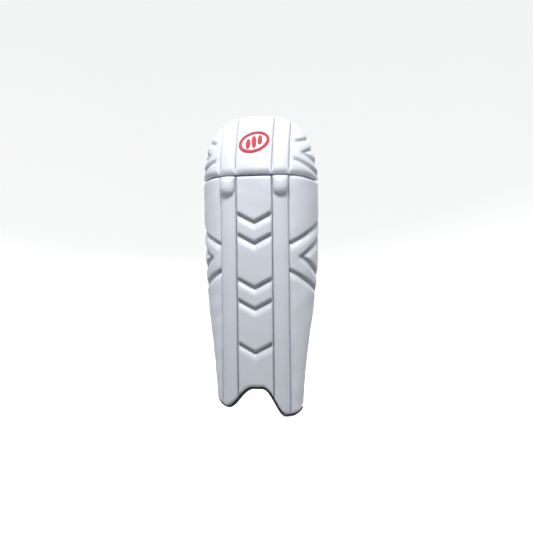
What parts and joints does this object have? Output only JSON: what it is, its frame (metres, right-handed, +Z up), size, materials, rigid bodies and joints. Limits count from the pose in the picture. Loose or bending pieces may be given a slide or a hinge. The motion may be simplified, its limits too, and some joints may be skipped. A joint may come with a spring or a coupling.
{
  "type": "cricket leg pad",
  "caption": "Wicket-keeping leg pad for the left leg: padded shin with canes, two wrap-round wings, knee flap and rear straps with hook-and-loop ends.",
  "frame": {"origin": "on the ground under the middle of the pad and its straps", "axes": "+Z up the shin, -Y the way the pad's face looks, +X the wearer's outer side (left leg)"},
  "size_m": [0.2572, 0.181, 0.6601],
  "materials": {
    "white_cover": "white faux leather, soft sheen",
    "foam": "cream upholstery foam, matt",
    "cane": "split cane, satin",
    "lining": "pale grey lining cloth, matt",
    "binding_black": "black woven tape, matt",
    "piping_white": "white faux-leather piping, soft sheen",
    "webbing": "off-white webbing, matt",
    "hook_loop": "grey hook-and-loop tape, matt",
    "ring_plastic": "black moulded plastic, glossy",
    "badge_red": "red embroidery, satin"
  },
  "bodies": {
    "shin": {"centre_panel_cover": "white_cover", "centre_panel_foam": "foam", "centre_shin_cushion": "lining", "inner_cane_1": "cane", "inner_cane_2": "cane", "inner_cane_3": "cane", "inner_cane_cover": "white_cover", "inner_cane_foam": "foam", "inner_knee_knuckle": "white_cover", "inner_shin_bolster": "lining", "instep_guard": "webbing", "knee_locator_cushion": "lining", "outer_cane_1": "cane", "outer_cane_2": "cane", "outer_cane_3": "cane", "outer_cane_cover": "white_cover", "outer_cane_foam": "foam", "outer_knee_knuckle": "white_cover", "outer_shin_bolster": "lining", "shin_hem_binding": "binding_black", "shin_lining": "lining"},
    "outer_wing": {"ankle_strap_patch": "hook_loop", "calf_strap_patch": "hook_loop", "knee_strap_patch": "hook_loop", "outer_wing_cover": "white_cover", "outer_wing_foam": "foam", "outer_wing_hem_binding": "binding_black", "outer_wing_lining": "lining", "outer_wing_piping": "piping_white"},
    "inner_wing": {"ankle_strap_tab": "webbing", "calf_strap_tab": "webbing", "inner_wing_cover": "white_cover", "inner_wing_foam": "foam", "inner_wing_hem_binding": "binding_black", "inner_wing_lining": "lining", "inner_wing_piping": "piping_white", "knee_strap_tab": "webbing"},
    "knee_flap": {"flap_badge": "badge_red", "flap_centre_cover": "white_cover", "flap_centre_foam": "foam", "flap_inner_strip_cover": "white_cover", "flap_inner_strip_foam": "foam", "flap_inner_wing_cover": "white_cover", "flap_inner_wing_foam": "foam", "flap_lining": "lining", "flap_outer_strip_cover": "white_cover", "flap_outer_strip_foam": "foam", "flap_outer_wing_cover": "white_cover", "flap_outer_wing_foam": "foam", "flap_piping": "piping_white"},
    "knee_ring": {"knee_strap_ring": "ring_plastic"},
    "knee_strap": {"knee_strap_hook": "hook_loop", "knee_strap_webbing": "webbing"},
    "calf_ring": {"calf_strap_ring": "ring_plastic"},
    "calf_strap": {"calf_strap_hook": "hook_loop", "calf_strap_webbing": "webbing"},
    "ankle_ring": {"ankle_strap_ring": "ring_plastic"},
    "ankle_strap": {"ankle_strap_hook": "hook_loop", "ankle_strap_webbing": "webbing"}
  },
  "joints": [
    {"name": "knee_flap_fold", "type": "hinge", "parent": "shin", "child": "knee_flap", "pos_m": [-0.00466, -0.0766, 0.5256], "axis": [1, 0, 0], "range_deg": [0, 25], "stiffness_Nm_per_rad": 0.8},
    {"name": "outer_wing_flex", "type": "hinge", "parent": "shin", "child": "outer_wing", "pos_m": [0.06949, -0.05577, 0.2596], "axis": [0, 0.027, -0.9996], "range_deg": [0, 18], "stiffness_Nm_per_rad": 1.2},
    {"name": "inner_wing_flex", "type": "hinge", "parent": "shin", "child": "inner_wing", "pos_m": [-0.07881, -0.05577, 0.2596], "axis": [0, -0.027, 0.9996], "range_deg": [0, 18], "stiffness_Nm_per_rad": 1.2},
    {"name": "knee_ring_swing", "type": "hinge", "parent": "inner_wing", "child": "knee_ring", "pos_m": [-0.1115, 0.00263, 0.4856], "axis": [0, -0.027, 0.9996], "range_deg": [0, 30]},
    {"name": "knee_strap_open", "type": "hinge", "parent": "knee_ring", "child": "knee_strap", "pos_m": [-0.1115, 0.01663, 0.4856], "axis": [0, -0.027, 0.9996], "range_deg": [0, 90]},
    {"name": "calf_ring_swing", "type": "hinge", "parent": "inner_wing", "child": "calf_ring", "pos_m": [-0.1107, -0.00267, 0.3396], "axis": [0, -0.027, 0.9996], "range_deg": [0, 30]},
    {"name": "calf_strap_open", "type": "hinge", "parent": "calf_ring", "child": "calf_strap", "pos_m": [-0.1107, 0.01133, 0.3396], "axis": [0, -0.027, 0.9996], "range_deg": [0, 90]},
    {"name": "ankle_ring_swing", "type": "hinge", "parent": "inner_wing", "child": "ankle_ring", "pos_m": [-0.09959, -0.02162, 0.1346], "axis": [0, -0.027, 0.9996], "range_deg": [0, 30]},
    {"name": "ankle_strap_open", "type": "hinge", "parent": "ankle_ring", "child": "ankle_strap", "pos_m": [-0.09959, -0.00762, 0.1346], "axis": [0, -0.027, 0.9996], "range_deg": [0, 90]}
  ]
}
